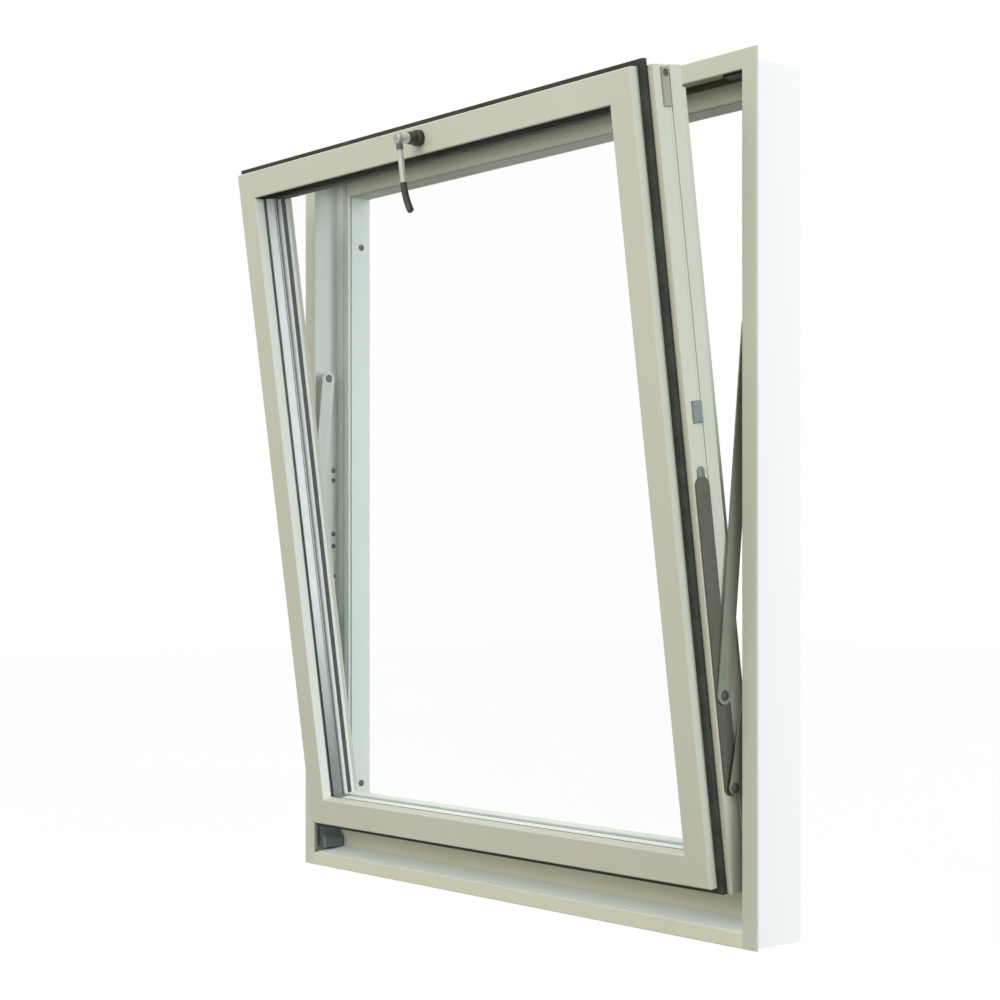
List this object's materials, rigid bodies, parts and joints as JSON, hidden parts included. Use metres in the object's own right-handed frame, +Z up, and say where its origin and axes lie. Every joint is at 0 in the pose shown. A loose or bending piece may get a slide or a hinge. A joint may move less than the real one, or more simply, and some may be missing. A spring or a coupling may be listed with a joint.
{
  "type": "bottom hung hopper window",
  "caption": "Aluminium tilt window seen from the room: flanged frame, double glazed sash leaning in at the top, friction stays on both sides and a lever handle",
  "frame": {"origin": "middle of the sill flange's rear face, which bears on the wall", "axes": "+X right as seen from the room, +Y outdoors through the wall, +Z up"},
  "size_m": [1.062, 0.316, 1.2],
  "materials": {
    "frame_coat": "satin off-white powder coat",
    "sash_coat": "satin off-white powder coat",
    "seal_rubber": "dull black weather seal",
    "glass": "clear float glass",
    "spacer_metal": "mill finish",
    "stay_steel": "dull stainless steel",
    "lock_metal": "dull zinc plated steel",
    "dark_plastic": "moulded dark grey plastic",
    "lever_metal": "satin silver"
  },
  "bodies": {
    "frame": {"frame_head": "frame_coat", "frame_left_jamb": "frame_coat", "frame_right_jamb": "frame_coat", "frame_sill": "frame_coat", "left_head_keeper": "dark_plastic", "left_stay_track": "stay_steel", "right_head_keeper": "dark_plastic", "right_stay_track": "stay_steel", "stop_seal_head": "seal_rubber", "stop_seal_left": "seal_rubber", "stop_seal_right": "seal_rubber", "stop_seal_sill": "seal_rubber"},
    "sash": {"glazing_bead_bottom": "sash_coat", "glazing_bead_left": "sash_coat", "glazing_bead_right": "sash_coat", "glazing_bead_top": "sash_coat", "glazing_spacer": "spacer_metal", "handle_rose": "dark_plastic", "inner_glazing_seal": "seal_rubber", "inner_pane": "glass", "left_corner_plate": "lock_metal", "left_lock_block": "lock_metal", "left_sash_bar": "stay_steel", "outer_glazing_seal": "seal_rubber", "outer_pane": "glass", "right_corner_plate": "lock_metal", "right_lock_block": "lock_metal", "right_sash_bar": "stay_steel", "sash_bottom_rail": "sash_coat", "sash_left_stile": "sash_coat", "sash_leg_bottom": "sash_coat", "sash_leg_left": "sash_coat", "sash_leg_right": "sash_coat", "sash_leg_top": "sash_coat", "sash_right_stile": "sash_coat", "sash_seal_bottom": "seal_rubber", "sash_seal_left": "seal_rubber", "sash_seal_right": "seal_rubber", "sash_seal_top": "seal_rubber", "sash_top_rail": "sash_coat"},
    "long_arms": {"left_long_arm": "stay_steel", "right_long_arm": "stay_steel"},
    "short_arms": {"left_short_arm": "stay_steel", "right_short_arm": "stay_steel"},
    "handle": {"handle_lever": "lever_metal"}
  },
  "joints": [
    {"name": "long_arm_swing", "type": "hinge", "parent": "frame", "child": "long_arms", "pos_m": [0, 0.02, 0.8275], "axis": [1, 0, 0], "range_deg": [0, 4.36]},
    {"name": "sash_tilt", "type": "hinge", "parent": "long_arms", "child": "sash", "pos_m": [0, -0.02634, 0.33147], "axis": [-1, 0, 0], "range_deg": [0, 12.13]},
    {"name": "short_arm_swing", "type": "hinge", "parent": "frame", "child": "short_arms", "pos_m": [0, 0.03385, 0.4185], "axis": [1, 0, 0], "range_deg": [0, 5.65]},
    {"name": "handle_turn", "type": "hinge", "parent": "sash", "child": "handle", "pos_m": [0.021, -0.18517, 1.12932], "axis": [0, -0.9908, -0.1352], "range_deg": [0, 90]}
  ],
  "couplings": [
    {"joint": "long_arm_swing", "follows": "sash_tilt", "ratio": 0.35944},
    {"joint": "short_arm_swing", "follows": "sash_tilt", "ratio": 0.46517}
  ]
}
